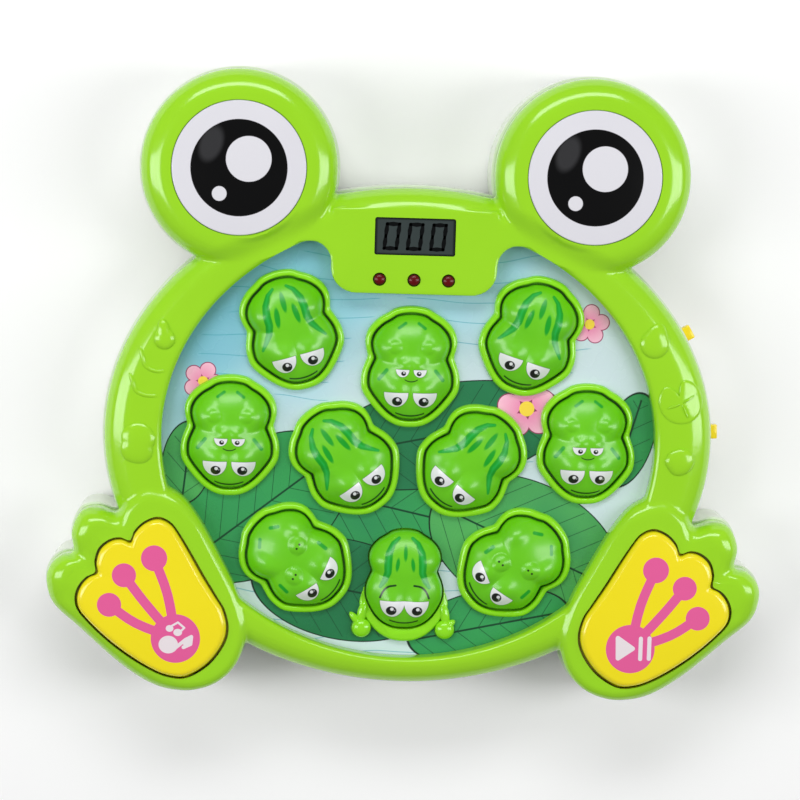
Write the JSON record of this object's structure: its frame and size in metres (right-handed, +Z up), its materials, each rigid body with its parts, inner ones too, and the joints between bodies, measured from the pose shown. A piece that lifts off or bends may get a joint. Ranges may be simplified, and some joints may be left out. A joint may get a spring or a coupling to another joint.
{
  "type": "pounding game",
  "caption": "Frog-shaped tabletop game: ten sprung frogs to press, a digit display with lamps, two foot buttons and side switches",
  "frame": {"origin": "on the table, under the middle of the outline", "axes": "+X to the game's right, +Y to its head end, +Z up out of its face"},
  "size_m": [0.3, 0.261, 0.0504],
  "materials": {
    "lime_plastic": "glossy lime green moulding",
    "collar_plastic": "glossy green moulding",
    "printed_sheet": "printed pond pattern under a satin film",
    "pale_plastic": "pale greenish white moulding",
    "frog_plastic": "glossy green with printed faces",
    "yellow_plastic": "glossy yellow",
    "eye_plastic": "glossy white with a printed black pupil",
    "display_glass": "dark grey display face",
    "red_lens": "clear dark red lens",
    "grey_rubber": "soft grey rubber",
    "black_rubber": "black rubber",
    "board": "green circuit board",
    "black_plastic": "black moulding",
    "cell_jacket": "plain dark jacket",
    "steel": "zinc plated"
  },
  "bodies": {
    "case": {"top_bezel": "lime_plastic", "deck_plate": "collar_plastic", "print_sheet": "printed_sheet", "back_shell": "pale_plastic", "eye_disc_left": "eye_plastic", "eye_disc_right": "eye_plastic", "display_panel": "display_glass", "lamp_left": "red_lens", "lamp_middle": "red_lens", "lamp_right": "red_lens", "dome_upper_left": "grey_rubber", "dome_upper_middle": "grey_rubber", "dome_upper_right": "grey_rubber", "dome_far_left": "grey_rubber", "dome_inner_left": "grey_rubber", "dome_inner_right": "grey_rubber", "dome_far_right": "grey_rubber", "dome_lower_left": "grey_rubber", "dome_lower_middle": "grey_rubber", "dome_lower_right": "grey_rubber", "dome_music_button": "grey_rubber", "dome_play_button": "grey_rubber", "pad_head_left": "black_rubber", "pad_foot_left": "black_rubber", "pad_head_right": "black_rubber", "pad_foot_right": "black_rubber", "main_board": "board", "display_board": "board", "foot_board_left": "board", "foot_board_right": "board", "switch_body_volume": "black_plastic", "switch_body_power": "black_plastic", "loudspeaker": "black_plastic", "cell_1": "cell_jacket", "cell_2": "cell_jacket", "cell_3": "cell_jacket", "contact_front": "steel", "contact_rear": "steel", "case_screw_eye_left": "steel", "case_screw_side_left": "steel", "case_screw_foot_left": "steel", "case_screw_eye_right": "steel", "case_screw_side_right": "steel", "case_screw_foot_right": "steel"},
    "frog_upper_left": {"frog_upper_left": "frog_plastic"},
    "frog_upper_middle": {"frog_upper_middle": "frog_plastic"},
    "frog_upper_right": {"frog_upper_right": "frog_plastic"},
    "frog_far_left": {"frog_far_left": "frog_plastic"},
    "frog_inner_left": {"frog_inner_left": "frog_plastic"},
    "frog_inner_right": {"frog_inner_right": "frog_plastic"},
    "frog_far_right": {"frog_far_right": "frog_plastic"},
    "frog_lower_left": {"frog_lower_left": "frog_plastic"},
    "frog_lower_middle": {"frog_lower_middle": "frog_plastic"},
    "frog_lower_right": {"frog_lower_right": "frog_plastic"},
    "music_button": {"music_button": "yellow_plastic"},
    "play_button": {"play_button": "yellow_plastic"},
    "volume_knob": {"switch_knob_volume": "yellow_plastic"},
    "power_knob": {"switch_knob_power": "yellow_plastic"},
    "door": {"battery_door": "pale_plastic", "battery_door_screw": "steel"}
  },
  "joints": [
    {"name": "press_upper_left", "type": "slide", "parent": "case", "child": "frog_upper_left", "axis": [0, 0, -1], "range_m": [0, 0.004], "stiffness_N_per_m": 300, "springref_m": -0.003, "deforming": ["dome_upper_left"]},
    {"name": "press_upper_middle", "type": "slide", "parent": "case", "child": "frog_upper_middle", "axis": [0, 0, -1], "range_m": [0, 0.004], "stiffness_N_per_m": 300, "springref_m": -0.003, "deforming": ["dome_upper_middle"]},
    {"name": "press_upper_right", "type": "slide", "parent": "case", "child": "frog_upper_right", "axis": [0, 0, -1], "range_m": [0, 0.004], "stiffness_N_per_m": 300, "springref_m": -0.003, "deforming": ["dome_upper_right"]},
    {"name": "press_far_left", "type": "slide", "parent": "case", "child": "frog_far_left", "axis": [0, 0, -1], "range_m": [0, 0.004], "stiffness_N_per_m": 300, "springref_m": -0.003, "deforming": ["dome_far_left"]},
    {"name": "press_inner_left", "type": "slide", "parent": "case", "child": "frog_inner_left", "axis": [0, 0, -1], "range_m": [0, 0.004], "stiffness_N_per_m": 300, "springref_m": -0.003, "deforming": ["dome_inner_left"]},
    {"name": "press_inner_right", "type": "slide", "parent": "case", "child": "frog_inner_right", "axis": [0, 0, -1], "range_m": [0, 0.004], "stiffness_N_per_m": 300, "springref_m": -0.003, "deforming": ["dome_inner_right"]},
    {"name": "press_far_right", "type": "slide", "parent": "case", "child": "frog_far_right", "axis": [0, 0, -1], "range_m": [0, 0.004], "stiffness_N_per_m": 300, "springref_m": -0.003, "deforming": ["dome_far_right"]},
    {"name": "press_lower_left", "type": "slide", "parent": "case", "child": "frog_lower_left", "axis": [0, 0, -1], "range_m": [0, 0.004], "stiffness_N_per_m": 300, "springref_m": -0.003, "deforming": ["dome_lower_left"]},
    {"name": "press_lower_middle", "type": "slide", "parent": "case", "child": "frog_lower_middle", "axis": [0, 0, -1], "range_m": [0, 0.004], "stiffness_N_per_m": 300, "springref_m": -0.003, "deforming": ["dome_lower_middle"]},
    {"name": "press_lower_right", "type": "slide", "parent": "case", "child": "frog_lower_right", "axis": [0, 0, -1], "range_m": [0, 0.004], "stiffness_N_per_m": 300, "springref_m": -0.003, "deforming": ["dome_lower_right"]},
    {"name": "press_music_button", "type": "slide", "parent": "case", "child": "music_button", "axis": [0, 0, -1], "range_m": [0, 0.0025], "stiffness_N_per_m": 300, "springref_m": -0.003, "deforming": ["dome_music_button"]},
    {"name": "press_play_button", "type": "slide", "parent": "case", "child": "play_button", "axis": [0, 0, -1], "range_m": [0, 0.0025], "stiffness_N_per_m": 300, "springref_m": -0.003, "deforming": ["dome_play_button"]},
    {"name": "slide_volume", "type": "slide", "parent": "case", "child": "volume_knob", "axis": [-0.4941, 0.8694, 0], "range_m": [-0.003, 0.003]},
    {"name": "slide_power", "type": "slide", "parent": "case", "child": "power_knob", "axis": [-0.0416, 0.9991, 0], "range_m": [-0.003, 0.003]},
    {"name": "open_battery_door", "type": "hinge", "parent": "case", "child": "door", "pos_m": [0, 0.0189, 0.0029], "axis": [1, 0, 0], "range_deg": [0, 75]}
  ]
}
